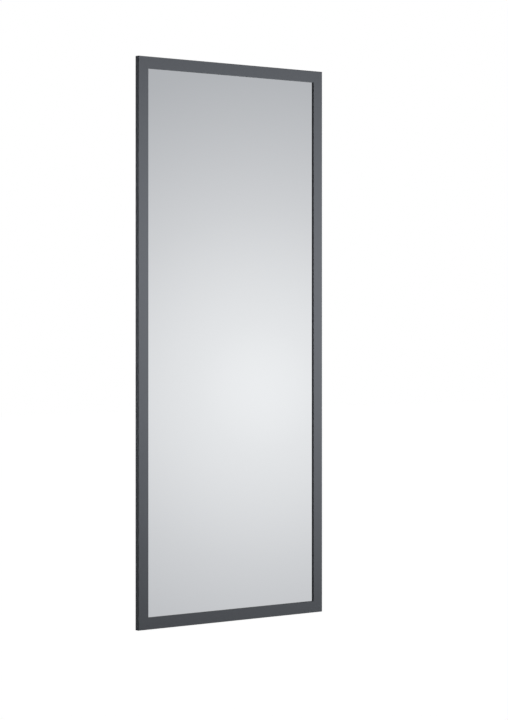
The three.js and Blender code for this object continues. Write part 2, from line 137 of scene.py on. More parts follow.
def empty_tree(owner):
    """Gives a material or a world its own nodes and clears the default ones away."""
    owner.use_nodes = True
    owner.node_tree.nodes.clear()
    return owner.node_tree


def new_material(name, settings):
    """A material with one Principled shader. Returns it with its nodes and that shader."""
    material = bpy.data.materials.new(name)
    tree = empty_tree(material)
    shader = add_node(tree, "ShaderNodeBsdfPrincipled", settings)
    add_node(tree, "ShaderNodeOutputMaterial", links={"Surface": (shader, "BSDF")})
    return material, tree, shader


def even_finish(name, colour, metallic, roughness):
    """A material that is the same all over."""
    settings = {"Base Color": linear(colour), "Metallic": metallic, "Roughness": roughness}
    return new_material(name, settings)[0]


# %% [markdown]
# ## Powder coat
# The frame is extruded aluminium with a satin anthracite powder coat. The powder melts into a
# film with a fine orange peel, about 0.6 mm across, and its grains leave lighter and darker
# specks. The real specks are finer than a pixel, so they are drawn 1.1 mm wide to show at all. A
# picture of a coat could give both, but noise in object coordinates has no seam and no repeat.
# Paint is a dielectric: it isn't metallic, and its sheen comes from its roughness.

# %% Satin powder coat
PEEL_SIZE = 0.6 * MM
PEEL_DEPTH = 0.05 * MM
SPECK_SIZE = 1.1 * MM
SPECK_DARK, SPECK_LIGHT = 0.35, 0.65
COAT_GLOSS = 0.25


def powder_coat(name, colour, dark, roughness, peel):
    """A coat with two close colours. Its peel says how strongly the relief shows."""
    material, tree, shader = new_material(
        name, {"Roughness": roughness, "Metallic": 0, "Specular IOR Level": COAT_GLOSS}
    )
    place = add_node(tree, "ShaderNodeTexCoord")
    specks = add_node(
        tree,
        "ShaderNodeTexNoise",
        {"Scale": 1 / SPECK_SIZE, "Detail": 3, "Roughness": 0.6},
        {"Vector": (place, "Object")},
    )
    speck_share = add_node(
        tree,
        "ShaderNodeMapRange",
        {"From Min": SPECK_DARK, "From Max": SPECK_LIGHT},
        {"Value": (specks, "Fac")},
    )
    tint = add_node(
        tree,
        "ShaderNodeMix",
        {"data_type": "RGBA", MIX_A: linear(dark), MIX_B: linear(colour)},
        {MIX_SHARE: (speck_share, "Result")},
    )
    tree.links.new(tint.outputs[MIX_RESULT], shader.inputs["Base Color"])
    peel_noise = add_node(
        tree,
        "ShaderNodeTexNoise",
        {"Scale": 1 / PEEL_SIZE, "Detail": 2},
        {"Vector": (place, "Object")},
    )
    bump = add_node(
        tree,
        "ShaderNodeBump",
        {"Strength": peel, "Distance": PEEL_DEPTH},
        {"Height": (peel_noise, "Fac")},
    )
    tree.links.new(bump.outputs["Normal"], shader.inputs["Normal"])
    return material


frame_coat = powder_coat(
    "satin_anthracite_powder_coat", "#63666B", "#5D6065", roughness=0.45, peel=0.12
)
bracket_coat = powder_coat(
    "graphite_powder_coat", "#3E4044", "#36383C", roughness=0.5, peel=0.2
)
print("made", frame_coat.name, "and", bracket_coat.name)

# %% [markdown]
# ## Silvered glass
# A mirror is float glass with silver and paint on its back. It could be clear glass over a silver
# sheet, but what the eye sees is almost all silver, and a clear layer only adds noise. So the
# face is a metal of almost no roughness, with the slight green of the glass. The edge of the
# sheet is ground glass, and the back is grey paint.

# %% Mirror glass
silver = even_finish("silvered_float_glass", "#F7F8F8", metallic=1, roughness=0.015)
glass_edge = even_finish("ground_glass_edge", "#7FA396", metallic=0, roughness=0.3)
mirror_paint = even_finish("mirror_backing_paint", "#77797B", metallic=0, roughness=0.6)
print("made", silver.name, glass_edge.name, mirror_paint.name)

# %% [markdown]
# ## Bright zinc plate
# The runners and the tube are cold-rolled steel with bright zinc plating. Rolling leaves faint
# lines along the strip, and the plating clouds a little. One noise, stretched along the piece,
# gives the lines: it changes the roughness more than the height. Another one clouds the colour.
# Real lines are finer than a pixel, so they are drawn 1.1 mm wide and 83 mm long, and the clouds
# are 17 mm wide.

# %% Zinc-plated steel
GRAIN_WIDTH = MM / 0.9
GRAIN_LENGTH = MM / 0.012
GRAIN_DEPTH = 0.02 * MM
GRAIN_RELIEF = 0.15
GRAIN_LOW, GRAIN_HIGH = 0.3, 0.7
SMOOTHER, ROUGHER = 0.06, 0.08
CLOUD_SIZE = MM / 0.06


def plated_steel(name, colours, roughness, grain_axis):
    """A metal whose grain runs along one axis and whose roughness varies with it."""
    material, tree, shader = new_material(name, {"Metallic": 1})
    place = add_node(tree, "ShaderNodeTexCoord")
    scale = [1 / (GRAIN_LENGTH if axis == grain_axis else GRAIN_WIDTH) for axis in "XYZ"]
    grain_place = add_node(
        tree, "ShaderNodeMapping", {"Scale": scale}, {"Vector": (place, "Object")}
    )
    grain = add_node(
        tree,
        "ShaderNodeTexNoise",
        {"Scale": 1.0, "Detail": 4, "Roughness": 0.7},
        {"Vector": (grain_place, "Vector")},
    )
    clouds = add_node(
        tree,
        "ShaderNodeTexNoise",
        {"Scale": 1 / CLOUD_SIZE, "Detail": 3},
        {"Vector": (place, "Object")},
    )
    cloud_colour = add_node(
        tree,
        "ShaderNodeMix",
        {"data_type": "RGBA", MIX_A: linear(colours[0]), MIX_B: linear(colours[1])},
        {MIX_SHARE: (clouds, "Fac")},
    )
    tree.links.new(cloud_colour.outputs[MIX_RESULT], shader.inputs["Base Color"])
    rough = add_node(
        tree,
        "ShaderNodeMapRange",
        {
            "From Min": GRAIN_LOW, "From Max": GRAIN_HIGH,
            "To Min": roughness - SMOOTHER, "To Max": roughness + ROUGHER,
        },  # fmt: skip
        {"Value": (grain, "Fac")},
    )
    tree.links.new(rough.outputs["Result"], shader.inputs["Roughness"])
    bump = add_node(
        tree,
        "ShaderNodeBump",
        {"Strength": GRAIN_RELIEF, "Distance": GRAIN_DEPTH},
        {"Height": (grain, "Fac")},
    )
    tree.links.new(bump.outputs["Normal"], shader.inputs["Normal"])
    return material


rail_zinc = plated_steel("bright_zinc_rolled_steel", ("#B9BEC3", "#CBCFD2"), 0.32, "X")
tube_zinc = plated_steel("bright_zinc_drawn_tube", ("#BCC0C4", "#CACDD0"), 0.26, "Z")
print("made", rail_zinc.name, "and", tube_zinc.name)

# %% [markdown]
# Balls and screws are too small for a grain to show, so their steel is even. The corner keys are
# sawn from aluminium, and a saw leaves lines much like rolling does, so they take the same
# function.

# %% Small metal parts
ball_steel = even_finish("polished_chrome_steel", "#D9DADB", metallic=1, roughness=0.07)
screw_zinc = even_finish("zinc_plated_screw_steel", "#B4B6B8", metallic=1, roughness=0.36)
sawn_aluminium = plated_steel("sawn_aluminium", ("#C5C7C9", "#B2B5B8"), 0.45, "Y")
print("made", ball_steel.name, screw_zinc.name, sawn_aluminium.name)

# %% [markdown]
# ## Moulded plastic and hardboard
# Bushes, caps and bumpers are black acetal, which comes out of its mould with a fine spark-eroded
# texture. The board behind the glass is dark faced hardboard, with the grain of its pressing.
# Both are even in colour, so a noise as relief is all they need. The real textures are finer, and
# they are drawn 0.5 mm and 1.2 mm wide to show.

# %% Plastic and board
MATT_RELIEF = 0.3


def matt_surface(name, colour, roughness, grain, depth):
    """An even colour with a fine relief, whose grain is as wide and as deep as given."""
    material, tree, shader = new_material(
        name, {"Base Color": linear(colour), "Roughness": roughness}
    )
    place = add_node(tree, "ShaderNodeTexCoord")
    texture = add_node(
        tree,
        "ShaderNodeTexNoise",
        {"Scale": 1 / grain, "Detail": 3},
        {"Vector": (place, "Object")},
    )
    bump = add_node(
        tree,
        "ShaderNodeBump",
        {"Strength": MATT_RELIEF, "Distance": depth},
        {"Height": (texture, "Fac")},
    )
    tree.links.new(bump.outputs["Normal"], shader.inputs["Normal"])
    return material


black_acetal = matt_surface(
    "moulded_black_acetal", "#1B1C1E", roughness=0.45, grain=0.5 * MM, depth=0.03 * MM
)
hardboard = matt_surface(
    "dark_faced_hardboard", "#3F4044", roughness=0.75, grain=1.2 * MM, depth=0.06 * MM
)
print("made", black_acetal.name, "and", hardboard.name)

# %% [markdown]
# ## Modelling helpers
# An operator acts on all that is selected, so a piece is the only selected one before it is
# worked on. A modifier is added, set and applied in one call, because the next cut needs a plain
# mesh.

# %% Selecting, modifiers and smoothing
SMOOTH_ANGLE = 30
SHARP_ANGLE = 40


def alone(piece):
    """Makes one piece the only selected and active one."""
    bpy.ops.object.select_all(action="DESELECT")
    piece.select_set(True)
    bpy.context.view_layer.objects.active = piece


def settle(piece):
    """Brings a piece's place, turn and size into its mesh."""
    alone(piece)
    bpy.ops.object.transform_apply(location=True, rotation=True, scale=True)


def copy_of(model, name):
    """A copy of a model, with its own mesh."""
    alone(model)
    bpy.ops.object.duplicate()
    copy = bpy.context.object
    copy.name = copy.data.name = name
    return copy


def apply_modifier(piece, kind, **settings):
    """Adds a modifier, sets it and applies it."""
    alone(piece)
    bpy.ops.object.modifier_add(type=kind)
    modifier = piece.modifiers[-1]
    for key, value in settings.items():
        setattr(modifier, key, value)
    bpy.ops.object.modifier_apply(modifier=modifier.name)


def ease_edges(piece, radius, segments=2):
    """Gives every sharp edge the small radius that tools and moulds leave."""
    apply_modifier(
        piece,
        "BEVEL",
        width=radius,
        segments=segments,
        limit_method="ANGLE",
        angle_limit=math.radians(SHARP_ANGLE),
    )


def smooth(piece):
    """Smooths the rounded parts and keeps the flat parts flat."""
    alone(piece)
    bpy.ops.object.shade_smooth_by_angle(angle=math.radians(SMOOTH_ANGLE))
    apply_modifier(piece, "WEIGHTED_NORMAL", keep_sharp=True)


# %% [markdown]
# A finished piece takes the place of its node, rides on the node's body and takes the material
# that it is given. What the mirror has several times is modelled once, centred, and each copy goes
# to the middle of its node's box, turned over where its node is. The print shows how far it
# departs from that box.


def size_in_mm(node):
    """The size of a node's box along x, y and z."""
    low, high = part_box(node)
    return [(b - a) / MM for a, b in zip(low, high)]


def on_both_runners(name):
    """The two nodes of a piece that the lower and the upper runner have."""
    return [f"{name}_lower", f"{name}_upper"]


def seat(piece, material, node):
    """Puts a finished piece in its node's place. Without a material it keeps its own."""
    settle(piece)
    if material:
        piece.data.materials.clear()
        piece.data.materials.append(material)
    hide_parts(node)
    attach(piece, body_of(frame["nodes"][node])[0])


def seat_copies(model, material, nodes, turned_over=()):
    """Puts a copy of the model in each node's place and clears the model away."""
    settle(model)
    bpy.ops.object.origin_set(type="ORIGIN_GEOMETRY", center="BOUNDS")
    for node in nodes:
        low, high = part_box(node)
        copy = copy_of(model, f"{model.name.split('.')[0]}_{node}")
        copy.location = (low + high) / 2
        if node in turned_over:
            copy.rotation_euler.x = math.pi
        misfit = max(abs(a - b) for a, b in zip(copy.dimensions, high - low))
        seat(copy, material, node)
        print(f"{copy.name}: {len(copy.data.polygons)} faces, {misfit / MM:.2f} mm from its box")
    bpy.data.objects.remove(model)


# %% [markdown]
# Most pieces start as a drawn line. It could be a curve object, but a mesh goes straight on to
# the next tool. A small plane is merged to one point, which is extruded from corner to corner, and
# an arc is worked out point by point.

# %% Drawing a line
MERGE_DISTANCE = 0.001 * MM


def arc(centre, radius, start, stop, steps=8):
    """Points on an arc between two angles in degrees."""
    angles = [math.radians(start + (stop - start) * i / steps) for i in range(steps + 1)]
    return [(centre[0] + radius * math.cos(a), centre[1] + radius * math.sin(a)) for a in angles]


def draw_line(name, points, closed=True):
    """Extrudes one point from corner to corner and leaves all of the line selected."""
    bpy.ops.object.select_all(action="DESELECT")
    bpy.ops.mesh.primitive_plane_add(size=MM, location=(0, 0, 0))
    piece = bpy.context.object
    piece.name = piece.data.name = name
    bpy.ops.object.mode_set(mode="EDIT")
    bpy.ops.mesh.select_mode(type="VERT")
    bpy.ops.mesh.select_all(action="SELECT")
    bpy.ops.mesh.merge(type="CENTER")
    bpy.ops.transform.translate(value=points[0])
    stops = points[1:] + points[:1] if closed else points[1:]
    for start, stop in zip(points, stops):
        bpy.ops.mesh.extrude_vertices_move(TRANSFORM_OT_translate={"value": stop - start})
    bpy.ops.mesh.select_all(action="SELECT")
    bpy.ops.mesh.remove_doubles(threshold=MERGE_DISTANCE)
    return piece


def close_mesh():
    """Merges what touches, turns the faces outwards and leaves edit mode."""
    bpy.ops.mesh.select_all(action="SELECT")
    bpy.ops.mesh.remove_doubles(threshold=MERGE_DISTANCE)
    bpy.ops.mesh.normals_make_consistent(inside=False)
    bpy.ops.object.mode_set(mode="OBJECT")


# %% [markdown]
# The line is filled and pulled out to a bar, or pulled as an open line and given a thickness like
# sheet metal, or turned round an axis as on a lathe. These are the ways the real pieces were
# made.

# %% Pulling, bending and turning
def across(axis, place, outline):
    """Stands a flat outline across one axis, at one place along it."""
    order = {"X": (2, 0, 1), "Y": (0, 2, 1), "Z": (0, 1, 2)}[axis]
    return [Vector([(u, v, place)[i] for i in order]) for u, v in outline]


def pull_bar(name, outline, axis, start, stop):
    """A solid bar: the outline is filled and pulled along an axis from start to stop."""
    piece = draw_line(name, across(axis, start, outline))
    bpy.ops.mesh.edge_face_add()
    pull = across(axis, stop - start, [(0, 0)])[0]
    bpy.ops.mesh.extrude_region_move(TRANSFORM_OT_translate={"value": pull})
    close_mesh()
    return piece


def bend_sheet(name, points, pull, thickness):
    """A strip of bent sheet: its middle line is pulled along a vector and thickened."""
    piece = draw_line(name, points, closed=False)
    bpy.ops.mesh.extrude_region_move(TRANSFORM_OT_translate={"value": pull})
    close_mesh()
    apply_modifier(piece, "SOLIDIFY", thickness=thickness, offset=0, use_even_offset=True)
    return piece


def turn_piece(name, outline, steps=48):
    """Turns an outline of (radius, height) in millimetres once round the Z axis."""
    solid_core = outline[0][0] == 0
    points = [Vector((r, 0, h)) * MM for r, h in outline]
    piece = draw_line(name, points, closed=not solid_core)
    bpy.ops.mesh.spin(steps=steps, angle=math.tau, center=(0, 0, 0), axis=(0, 0, 1))
    close_mesh()
    return piece


# %% [markdown]
# Holes could be drawn into an outline, but most of them cross it. So they are cut as in the
# workshop: a drill or a block is put in place, and a boolean takes it away from the piece.

# %% Drills and blocks
def drill_bit(radius, length, place, along="Z", sides=32):
    """A round bit about its place, or a six-sided one for a socket."""
    bpy.ops.object.select_all(action="DESELECT")
    bpy.ops.mesh.primitive_cylinder_add(
        vertices=sides, radius=radius, depth=length, location=place
    )
    bit = bpy.context.object
    turns = {"X": (0, math.pi / 2, 0), "Y": (math.pi / 2, 0, 0), "Z": (0, 0, 0)}
    bit.rotation_euler = turns[along]
    return bit


def add_block(name, low, high):
    """A block from its lowest to its highest corner."""
    bpy.ops.object.select_all(action="DESELECT")
    bpy.ops.mesh.primitive_cube_add(size=1, location=(low + high) / 2)
    block = bpy.context.object
    block.name = block.data.name = name
    block.scale = high - low
    settle(block)
    return block


def combine(piece, others, operation="DIFFERENCE"):
    """Cuts the others out of a piece, joins them to it, or keeps what they share."""
    for other in others:
        apply_modifier(piece, "BOOLEAN", operation=operation, solver="EXACT", object=other)
        bpy.data.objects.remove(other)


# %% [markdown]
# ## Frame profiles
# Each side of the frame is a length of extruded aluminium: a flat face, a lip that holds the
# glass, a slot for glass and board, and a hollow chamber. It could be swept along the frame as
# one ring, but the real frame is four lengths that are sawn at 45 degrees. So one section is
# drawn corner by corner and pulled out to a length, its long edges are rounded, and both ends are
# sawn off.

# %% Profile sizes, from the frame
stile_low, stile_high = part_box("leading_stile")
FACE_WIDTH = stile_high.x - stile_low.x
FRAME_DEPTH = stile_high.y - stile_low.y
MIRROR_WIDTH = MIRROR_HIGH.x - MIRROR_LOW.x
MIRROR_HEIGHT = MIRROR_HIGH.z - MIRROR_LOW.z
MIRROR_CENTRE = (MIRROR_LOW + MIRROR_HIGH) / 2
glass_low, glass_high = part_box("mirror_glass")
GLASS_RECESS = glass_low.y - stile_low.y
WALL = 1.5 * MM
NOSE_WIDTH = 1.5 * MM
CHAMBER_WIDTH = 10 * MM
OUTER_EDGE_RADIUS = 0.8 * MM
LIP_RADIUS = 0.4 * MM
MITRE_SETBACK = 0.03 * MM
SAW_WASTE = 5 * MM
print("profile", round(FACE_WIDTH / MM, 1), "x", round(FRAME_DEPTH / MM, 1), "mm")

# %% [markdown]
# Edges are picked in code by their place, as one would drag a box round them by hand. The bar
# starts longer than it has to be, and the saw plane, whose normal has as much x as z, takes the
# waste off. It is set back a little, which leaves the hairline that two mitred lengths show
# between them.

# %% One sawn length
PICK_DISTANCE = 0.05 * MM


def select_long_edges(piece, x, y):
    """In edit mode, selects the edges that run along the profile at one point of its section."""
    bpy.ops.mesh.select_all(action="DESELECT")
    bpy.ops.mesh.select_mode(type="EDGE")
    bpy.ops.object.mode_set(mode="OBJECT")
    for edge in piece.data.edges:
        ends = [piece.data.vertices[i].co.xy for i in edge.vertices]
        edge.select = all(math.dist(end, (x, y)) < PICK_DISTANCE for end in ends)
    bpy.ops.object.mode_set(mode="EDIT")


def make_profile(length):
    """A length of profile: x runs in from the outer edge, y back from the face, z along it."""
    slot_start = WALL + CHAMBER_WIDTH + WALL
    slot_back = FRAME_DEPTH - WALL
    nose = FACE_WIDTH - NOSE_WIDTH
    corners = [
        (0, 0), (FACE_WIDTH, 0), (FACE_WIDTH, GLASS_RECESS), (nose, GLASS_RECESS),
        (nose, WALL), (slot_start, WALL), (slot_start, slot_back), (FACE_WIDTH, slot_back),
        (FACE_WIDTH, FRAME_DEPTH), (0, FRAME_DEPTH),
    ]  # fmt: skip
    reach = length / 2 + SAW_WASTE
    piece = pull_bar("sawn_length", corners, "Z", -reach, reach)
    alone(piece)
    bpy.ops.object.mode_set(mode="EDIT")
    for radius, segments, x, y in [
        (OUTER_EDGE_RADIUS, 5, 0, 0),
        (OUTER_EDGE_RADIUS, 5, 0, FRAME_DEPTH),
        (LIP_RADIUS, 4, FACE_WIDTH, 0),
    ]:
        select_long_edges(piece, x, y)
        bpy.ops.mesh.bevel(offset=radius, segments=segments, affect="EDGES")
    for end in (1, -1):
        bpy.ops.mesh.select_all(action="SELECT")
        bpy.ops.mesh.bisect(
            plane_co=(0, 0, end * (length / 2 - MITRE_SETBACK)),
            plane_no=(1, 0, end),
            clear_outer=True,
            use_fill=True,
        )
    close_mesh()
    chamber_low = Vector((WALL, WALL, -length))
    chamber_high = Vector((WALL + CHAMBER_WIDTH, slot_back, length))
    combine(piece, [add_block("chamber", chamber_low, chamber_high)])
    smooth(piece)
    return piece


# %% [markdown]
# Two lengths are long and two are short. Each kind is made once, and its copies are turned so
# that their outer edges lie on the outside of the frame.

# %% The four profiles
upright = make_profile(MIRROR_HEIGHT)
crosswise = make_profile(MIRROR_WIDTH)
PROFILES = {
    "leading_stile": (upright, 0, MIRROR_LOW.x, MIRROR_CENTRE.z),
    "top_rail": (crosswise, 90, MIRROR_CENTRE.x, MIRROR_HIGH.z),
    "trailing_stile": (upright, 180, MIRROR_HIGH.x, MIRROR_CENTRE.z),
    "bottom_rail": (crosswise, -90, MIRROR_CENTRE.x, MIRROR_LOW.z),
}
for node, (sawn_length, angle, x, z) in PROFILES.items():
    profile = copy_of(sawn_length, "coated_" + node)
    profile.rotation_euler.y = math.radians(angle)
    profile.location = (x, MIRROR_LOW.y, z)
    seat(profile, frame_coat, node)
    print(profile.name, len(profile.data.polygons), "faces")
for sawn_length in (upright, crosswise):
    bpy.data.objects.remove(sawn_length)

# %% [markdown]
# ## Mirror glass
# The sheet is cut, ground along its edges and silvered. A plain block would look the same,
# because the slot hides its edges, but a narrow ground chamfer is what keeps a real sheet from
# chipping. Face, edge and back take their own finish, by the way that each face of the mesh
# looks.

# %% Glass sheet
GRIND = 0.4 * MM
SQUARE_ON = 0.99
FACE, EDGE, BACK = range(3)
glass = add_block("silvered_sheet", glass_low, glass_high)
ease_edges(glass, GRIND)
seat(glass, silver, "mirror_glass")
glass.data.materials.append(glass_edge)
glass.data.materials.append(mirror_paint)
for face in glass.data.polygons:
    facing = face.normal.y
    face.material_index = FACE if facing < -SQUARE_ON else BACK if facing > SQUARE_ON else EDGE
print("glass", [round(c / MM) for c in glass.dimensions], "mm")

# %% [markdown]
# ## Backing board
# The board fills the slot behind the glass and keeps the silvering from harm. It is sawn from
# sheet, so it is a block of the node's size, and its arrises are just taken off.

# %% Board
board = add_block("sawn_hardboard", *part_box("backing_board"))
ease_edges(board, GRIND)
seat(board, hardboard, "backing_board")
print("board", [round(c / MM) for c in board.dimensions], "mm")

# %% [markdown]
# ## Swivel tube
# The mirror hangs on a drawn steel tube with a plastic cap in each end. A cap has a plug that
# goes into the tube, a rim that covers its wall, and a rounded top. Cylinders could be put
# together for both, but turning half an outline, in millimetres, gives poles and rims clean rings
# in one step.

# %% Tube and caps
TUBE_RADIUS = 6
TUBE_WALL = 1.5
FIT = 0.3
CAP_TOP = 2
CAP_ROUND = 1.2
tube_length = size_in_mm("swivel_tube")[2]
bore = TUBE_RADIUS - TUBE_WALL
tube = turn_piece(
    "drawn",
    [(bore, 0), (TUBE_RADIUS, 0), (TUBE_RADIUS, tube_length), (bore, tube_length)],
    steps=64,
)
smooth(tube)
seat_copies(tube, tube_zinc, ["swivel_tube"])

plug_length = size_in_mm("tube_cap_upper")[2] - CAP_TOP
plug = bore - FIT
rim_round = (TUBE_RADIUS - CAP_ROUND, CAP_TOP - CAP_ROUND)
cap = turn_piece(
    "moulded",
    [(0, -plug_length), (plug, -plug_length), (plug, 0), (TUBE_RADIUS, 0)]
    + arc(rim_round, CAP_ROUND, 0, 90)
    + [(0, CAP_TOP)],
)
smooth(cap)
seat_copies(cap, black_acetal, ["tube_cap_upper", "tube_cap_lower"], ["tube_cap_lower"])

# %% [markdown]
# ## Thrust collars
# A collar sits on the tube at each runner and carries the mirror's weight on a bush. It is a
# turned ring with a threaded cross hole, so it is turned here too, drilled, and then chamfered
# all over, which also breaks the edge of the hole.

# %% Collars
COLLAR_WALL = 3.2
COLLAR_CHAMFER = 0.5 * MM
GRUB_RADIUS = 2
running_bore = TUBE_RADIUS + FIT
collar_radius = running_bore + COLLAR_WALL
top = size_in_mm("thrust_collar_lower")[2] / 2
collar = turn_piece(
    "turned",
    [(running_bore, -top), (collar_radius, -top), (collar_radius, top), (running_bore, top)],
    steps=64,
)
hole_place = Vector((collar_radius * MM, 0, 0))
combine(collar, [drill_bit((GRUB_RADIUS + FIT) * MM, collar_radius * MM, hole_place, "X")])
ease_edges(collar, COLLAR_CHAMFER, segments=1)
smooth(collar)
seat_copies(collar, tube_zinc, on_both_runners("thrust_collar"))

# %% [markdown]
# A socket-head grub screw in the cross hole grips the tube. Only its socket end shows, so its
# thread is left out. It is turned upright, a six-sided bit cuts the socket, and it is then laid
# down along the x axis.

# %% Grub screws
GRUB_POINT = 0.5
GRUB_EDGE = 0.1 * MM
SOCKET_RADIUS = 1.15
SOCKET_DEPTH = 1.6
grub_length = size_in_mm("collar_grub_screw_lower")[0]
grub = turn_piece(
    "socket_head",
    [
        (0, 0), (GRUB_RADIUS - GRUB_POINT, 0), (GRUB_RADIUS, GRUB_POINT),
        (GRUB_RADIUS, grub_length), (0, grub_length),
    ],
    steps=32,
)  # fmt: skip
socket_place = Vector((0, 0, grub_length * MM))
combine(grub, [drill_bit(SOCKET_RADIUS * MM, SOCKET_DEPTH * 2 * MM, socket_place, sides=6)])
ease_edges(grub, GRUB_EDGE, segments=1)
smooth(grub)
grub.rotation_euler.y = math.pi / 2
seat_copies(grub, screw_zinc, on_both_runners("collar_grub_screw"))

# %% [markdown]
# ## Bushes
# A flanged plastic bush sits in each ear of a bracket, and the steel tube turns in it. Sleeve and
# flange could be two cylinders that are joined, but one turned outline has no seam between them.
# The same bush fits both ears: in the bottom one it is turned over, so that its flange is
# outside.

# %% Flanged bushes
BUSH_WALL = 1
BUSH_FLANGE = 2
BUSH_FLANGE_THICKNESS = 1.5
BUSH_EDGE = 0.25 * MM
bush_height = size_in_mm("bush_lower_top")[2]
sleeve = running_bore + BUSH_WALL
flange = sleeve + BUSH_FLANGE
step = bush_height - BUSH_FLANGE_THICKNESS
bush = turn_piece(
    "moulded",
    [
        (running_bore, 0), (sleeve, 0), (sleeve, step),
        (flange, step), (flange, bush_height), (running_bore, bush_height),
    ],
    steps=64,
)  # fmt: skip
ease_edges(bush, BUSH_EDGE)
smooth(bush)
bush_nodes = [f"bush_{side}_{end}" for side in ("lower", "upper") for end in ("top", "bottom")]
seat_copies(bush, black_acetal, bush_nodes, [n for n in bush_nodes if n.endswith("bottom")])

# %% [markdown]
# ## Screws
# The pan-head machine screws have a domed head with a cross recess and an M4 thread. The thread
# is drawn as rings of the true pitch and not as a helix: nobody can tell them apart at this size,
# and the shank stays one turned outline. Two bars could cut the recess one after the other, but
# they would share faces in its middle, so one cross-shaped bar cuts it.

# %% Pan-head screws
SCREW_RADIUS = 2
THREAD_PITCH = 0.7
THREAD_DEPTH = 0.38
THREAD_START = 0.4
TIP_CHAMFER = THREAD_DEPTH * 1.5
HEAD_RADIUS = 3.5
HEAD_EDGE = 0.9
HEAD_HEIGHT = 2.4
RECESS_SPAN = 4
RECESS_WIDTH = 0.9
RECESS_DEPTH = 1.3


def make_screw(length):
    """A screw along Z, its head's underside at zero."""
    rings = int((length - THREAD_PITCH) / THREAD_PITCH)
    outline = [(0, -length), (SCREW_RADIUS - TIP_CHAMFER, -length)]
    for i in range(rings):
        root = -length + THREAD_PITCH * (i + THREAD_START)
        outline += [(SCREW_RADIUS - THREAD_DEPTH, root), (SCREW_RADIUS, root + THREAD_PITCH / 2)]
    outline += [(SCREW_RADIUS - THREAD_DEPTH / 2, -THREAD_PITCH / 2), (SCREW_RADIUS, 0)]
    outline += [(HEAD_RADIUS, 0), (HEAD_RADIUS, HEAD_EDGE)]
    dome = HEAD_HEIGHT - HEAD_EDGE
    outline += [(HEAD_RADIUS * x, HEAD_EDGE + dome * z) for x, z in arc((0, 0), 1, 0, 90)[1:-1]]
    outline += [(0, HEAD_HEIGHT)]
    screw = turn_piece("pan_head", outline, steps=32)
    top = HEAD_HEIGHT * MM
    arm, half, depth = (v * MM for v in (RECESS_SPAN / 2, RECESS_WIDTH / 2, RECESS_DEPTH))
    cross = [
        (half, arm), (half, half), (arm, half), (arm, -half), (half, -half), (half, -arm),
        (-half, -arm), (-half, -half), (-arm, -half), (-arm, half), (-half, half), (-half, arm),
    ]  # fmt: skip
    combine(screw, [pull_bar("recess", cross, "Z", top - depth, top + depth)])
    smooth(screw)
    return screw


# %% [markdown]
# The frame says how long each kind of screw is. The heads of the saddle screws look to the back,
# and those of the bracket screws look to the front.

# %% Screws in their places
for kind, facing in (("saddle_screw_", -1), ("bracket_screw_", 1)):
    nodes = sorted(n for n in frame["nodes"] if n.startswith(kind))
    screw = make_screw(size_in_mm(nodes[0])[1] - HEAD_HEIGHT)
    screw.rotation_euler.x = facing * math.pi / 2
    seat_copies(screw, screw_zinc, nodes)

# %% [markdown]
# ## Saddle blocks
# Each block clamps the tube to the leading stile: a boss round the tube on a flat foot with two
# screws. Real ones are die-cast and powder coated, so no edge is sharp and the boss runs into its
# foot with a fillet. Both parts start as pulled bars. The foot's outline needs round corners, and
# so will other pieces, so a helper draws them.

# %% Round corners
def rounded_rectangle(half_width, half_height, radius, steps=6):
    """Corner points of a rectangle with round corners, in the units that it is given."""
    points = []
    for start, x, y in ((0, 1, 1), (90, -1, 1), (180, -1, -1), (270, 1, -1)):
        centre = (x * (half_width - radius), y * (half_height - radius))
        points += arc(centre, radius, start, start + 90, steps)
    return points


# %% [markdown]
# The block is modelled about the tube's axis. The bevel modifier rounds inner corners as well as
# outer ones, which gives the fillet between boss and foot. The flat side of the boss lies in the
# end face of the foot, so both are rounded to a micrometre: a sliver between them would shrink
# the bevel to nothing.

# %% Boss and foot
BOSS_HEIGHT = 24 * MM
FOOT_THICKNESS = 4 * MM
FOOT_CORNER = 3 * MM
CAST_RADIUS = 0.6 * MM


def to_micrometre(metres):
    """Rounds a length to a millionth of a metre."""
    return round(metres, 6)


tube_low, tube_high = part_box("swivel_tube")
axis_x = (tube_low.x + tube_high.x) / 2
axis_y = (tube_low.y + tube_high.y) / 2
saddle_low, saddle_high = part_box("saddle_block_lower")
boss_radius = to_micrometre(collar_radius * MM)
foot_front = saddle_low.y - axis_y
boss_start = foot_front + FOOT_THICKNESS / 2
boss_plan = [(-boss_radius, boss_start), (boss_radius, boss_start)]
boss_plan += arc((0, 0), boss_radius, 0, 180, steps=32)
saddle = pull_bar("cast", boss_plan, "Z", -BOSS_HEIGHT / 2, BOSS_HEIGHT / 2)
foot_middle = to_micrometre((saddle_low.x + saddle_high.x) / 2 - axis_x)
foot_width, _, foot_height = saddle_high - saddle_low
foot_outline = rounded_rectangle(
    to_micrometre(foot_width / 2), to_micrometre(foot_height / 2), FOOT_CORNER
)
foot_outline = [(foot_middle + x, z) for x, z in foot_outline]
foot = pull_bar("foot", foot_outline, "Y", foot_front, foot_front + FOOT_THICKNESS)
combine(saddle, [foot], "UNION")
ease_edges(saddle, CAST_RADIUS, segments=3)
print("saddle block", [round(c / MM, 1) for c in saddle.dimensions], "mm")

# %% [markdown]
# A real casting is drilled after it leaves its mould, so the bore and the screw holes stay crisp.
# They come after the bevel for the same reason.

